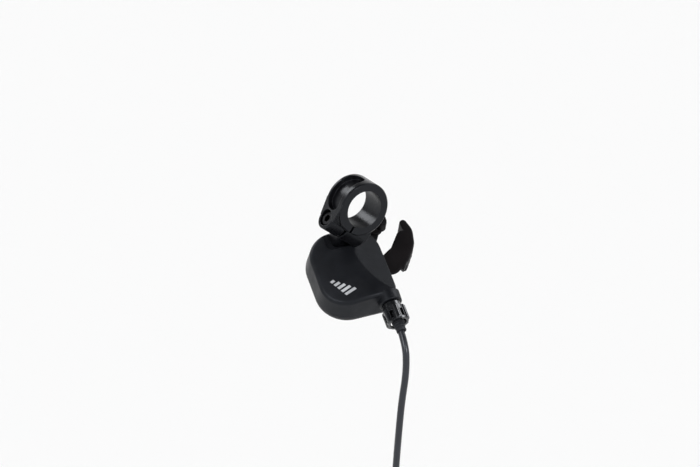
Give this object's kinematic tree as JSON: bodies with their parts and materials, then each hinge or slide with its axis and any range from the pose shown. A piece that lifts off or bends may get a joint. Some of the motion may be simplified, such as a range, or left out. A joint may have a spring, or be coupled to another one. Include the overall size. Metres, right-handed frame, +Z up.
{
  "type": "thumb shifter",
  "caption": "Right-hand bicycle thumb shifter with a split handlebar clamp, push and release levers, a ratcheted cable spool, a barrel adjuster and sheathed cable.",
  "frame": {"origin": "centre of the handlebar clamp's bore, at the middle of the band", "axes": "+X outboard along the handlebar, +Y forward, +Z up"},
  "size_m": [0.0861, 0.0742, 0.2479],
  "materials": {
    "bracket_paint": "satin black",
    "black_oxide": "black oxide",
    "zinc_steel": "zinc plated",
    "cover_plastic": "fine texture, near black",
    "lower_plastic": "smooth satin, near black",
    "plug_plastic": "black",
    "shaft_steel": "turned",
    "nylon": "natural nylon",
    "spring_steel": "drawn wire",
    "wire_steel": "stainless strand",
    "ratchet_steel": "hardened",
    "spool_plastic": "dark grey acetal",
    "lever_paint": "black",
    "pad_plastic": "ribbed, near black",
    "barrel_plastic": "gloss black",
    "ferrule_alloy": "plain",
    "boot_rubber": "dark grey",
    "housing_jacket": "dark grey, glossy",
    "tie_plastic": "soft black",
    "tip_alloy": "crimped"
  },
  "bodies": {
    "chassis": {"clamp_bracket": "bracket_paint", "clamp_bolt": "black_oxide", "clamp_nut": "zinc_steel", "upper_cover": "cover_plastic", "lower_cover": "lower_plastic", "cover_screws": "zinc_steel", "port_plug": "plug_plastic", "base_plate": "zinc_steel", "bracket_screw": "black_oxide", "main_shaft": "shaft_steel", "shaft_nut": "zinc_steel", "retainer_plate": "zinc_steel", "plate_posts": "shaft_steel", "spool_bush": "nylon", "main_lever_shim": "nylon", "release_lever_shim": "nylon", "adjuster_sleeve": "shaft_steel", "inner_wire": "wire_steel", "main_lever_spring": "spring_steel", "release_lever_spring": "spring_steel", "spool_spring": "spring_steel", "holding_pawl_pin": "shaft_steel", "holding_pawl_spring": "spring_steel"},
    "main_lever": {"main_lever": "lever_paint", "main_lever_pad": "pad_plastic", "drive_pawl_pin": "shaft_steel", "drive_pawl_spring": "spring_steel"},
    "drive_pawl": {"drive_pawl": "ratchet_steel"},
    "release_lever": {"release_lever": "lever_paint", "release_lever_pad": "pad_plastic"},
    "holding_pawl": {"holding_pawl": "ratchet_steel"},
    "spool": {"cable_spool": "spool_plastic", "ratchet_wheel": "ratchet_steel", "wire_nipple": "wire_steel"},
    "carriage": {"housing_ferrule": "ferrule_alloy", "housing_boot": "boot_rubber", "shift_housing": "housing_jacket", "housing_coil": "housing_jacket", "housing_drop": "housing_jacket", "coil_tie": "tie_plastic", "end_ferrule": "ferrule_alloy", "wire_tail": "wire_steel", "wire_tip": "tip_alloy"},
    "barrel": {"adjuster_barrel": "barrel_plastic"}
  },
  "joints": [
    {"name": "main_lever_swing", "type": "hinge", "parent": "chassis", "child": "main_lever", "pos_m": [-0.00181, 0.00027, -0.04267], "axis": [-0.5011, 0.2004, 0.8419], "range_deg": [0, 36], "stiffness_Nm_per_rad": 0.15, "springref_deg": -34.38},
    {"name": "drive_pawl_swing", "type": "hinge", "parent": "main_lever", "child": "drive_pawl", "pos_m": [0.00581, 0.0135, -0.0363], "axis": [-0.5011, 0.2004, 0.8419], "range_deg": [0, 7], "stiffness_Nm_per_rad": 0.002, "springref_deg": -11.46},
    {"name": "release_lever_swing", "type": "hinge", "parent": "chassis", "child": "release_lever", "pos_m": [-0.00286, 0.0007, -0.0409], "axis": [-0.5011, 0.2004, 0.8419], "range_deg": [0, 14], "stiffness_Nm_per_rad": 0.1, "springref_deg": -28.65},
    {"name": "holding_pawl_swing", "type": "hinge", "parent": "chassis", "child": "holding_pawl", "pos_m": [-0.01377, 0.01072, -0.04729], "axis": [-0.5011, 0.2004, 0.8419], "range_deg": [0, 7], "stiffness_Nm_per_rad": 0.002, "springref_deg": -11.46},
    {"name": "spool_turn", "type": "hinge", "parent": "chassis", "child": "spool", "pos_m": [-0.00486, 0.0015, -0.03754], "axis": [-0.5011, 0.2004, 0.8419], "range_deg": [0, 108], "stiffness_Nm_per_rad": 0.05, "springref_deg": -57.3},
    {"name": "adjuster_travel", "type": "slide", "parent": "chassis", "child": "carriage", "axis": [-0.8375, 0.1327, -0.5301], "range_m": [0, 0.0032]},
    {"name": "adjuster_turn", "type": "hinge", "parent": "carriage", "child": "barrel", "pos_m": [-0.03261, -0.00352, -0.05155], "axis": [-0.8375, 0.1327, -0.5301], "range_deg": [0, 1441]}
  ],
  "couplings": [
    {"joint": "adjuster_turn", "follows": "adjuster_travel", "rad_per_m": 7854}
  ]
}
